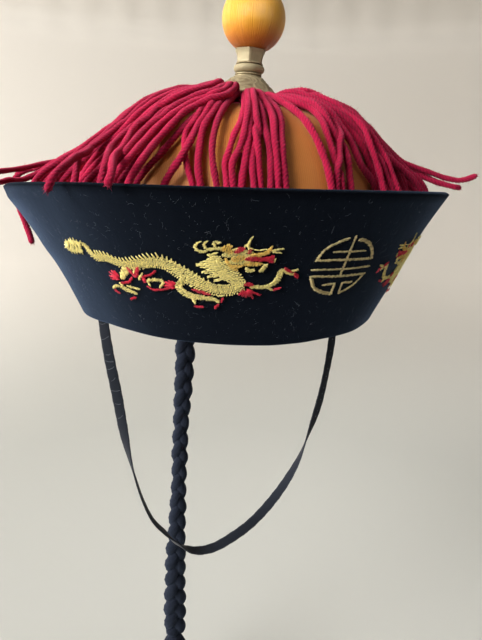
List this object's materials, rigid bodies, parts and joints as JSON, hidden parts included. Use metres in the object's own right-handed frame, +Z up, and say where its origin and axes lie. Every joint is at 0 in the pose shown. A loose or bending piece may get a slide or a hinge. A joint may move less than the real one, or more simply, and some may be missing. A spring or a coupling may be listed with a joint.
{
  "type": "mandarin hat",
  "caption": "Traditional Chinese costume hat with upturned embroidered velvet brim, satin crown, yarn fringe, brass finial, chin strap and long plait.",
  "frame": {"origin": "centre of the head opening, in the plane of the brim's lower edge, where the hat sits on a head", "axes": "+Z up through the crown, -Y the wearer's front with the round ornament, +X the wearer's left"},
  "size_m": [0.2939, 0.2774, 0.5576],
  "materials": {
    "velvet": "black cotton velvet with a bluish sheen and lint",
    "satin": "orange satin",
    "yarn": "crimson bulky plied yarn, matt and fuzzy",
    "brass": "pale aged brass, satin, darker in the hollows",
    "gold_thread": "wound floss silk, glossy along the threads",
    "black_cord": "slate black thread and tape, matt"
  },
  "bodies": {
    "root": {"brim": "velvet", "crown": "satin", "fringe": "yarn", "finial_dome": "brass", "finial_collar": "brass", "finial_calyx": "brass", "finial_ball": "gold_thread", "finial_post": "brass", "chin_strap": "black_cord", "braid": "black_cord", "braid_tie": "black_cord", "braid_tuft": "black_cord"}
  },
  "joints": []
}
